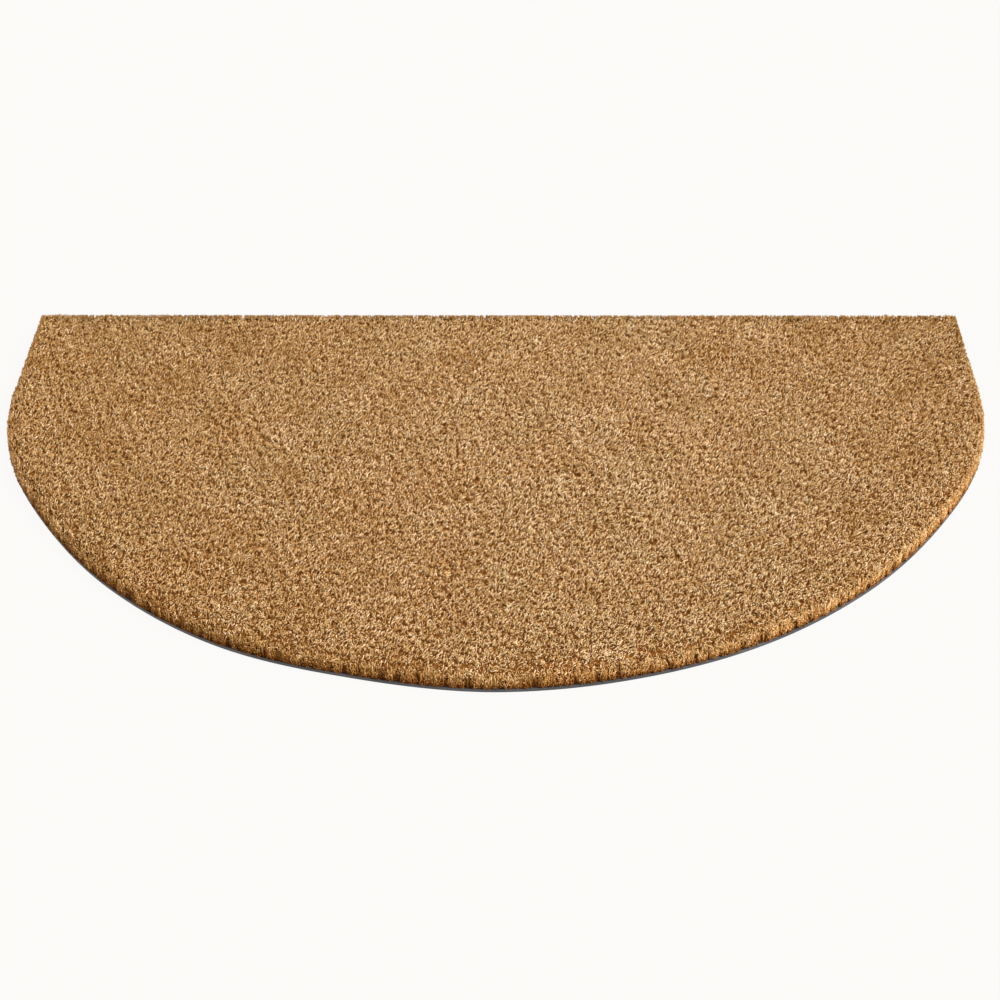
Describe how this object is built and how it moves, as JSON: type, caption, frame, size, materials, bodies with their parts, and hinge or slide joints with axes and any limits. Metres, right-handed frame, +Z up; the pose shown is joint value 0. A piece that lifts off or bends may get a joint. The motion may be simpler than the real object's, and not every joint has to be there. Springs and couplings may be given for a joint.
{
  "type": "half round doormat",
  "caption": "Half round doormat: a dense, short coconut fibre pile fused to a thin vinyl backing, cut straight at the back and round at the front.",
  "frame": {"origin": "on the floor, under the middle of the footprint's box", "axes": "+X along the straight back side, +Y from the round front towards the straight back side, +Z up out of the pile"},
  "size_m": [0.762, 0.455, 0.0179],
  "materials": {
    "vinyl": "dark grey flexible PVC sheet, cast with a fine grain and cut through at its edge",
    "coir": "undyed golden brown coconut fibre, cut to an even pile with dark gaps between the tufts"
  },
  "bodies": {
    "root": {"vinyl_backing": "vinyl", "coir_pile": "coir"}
  },
  "joints": []
}
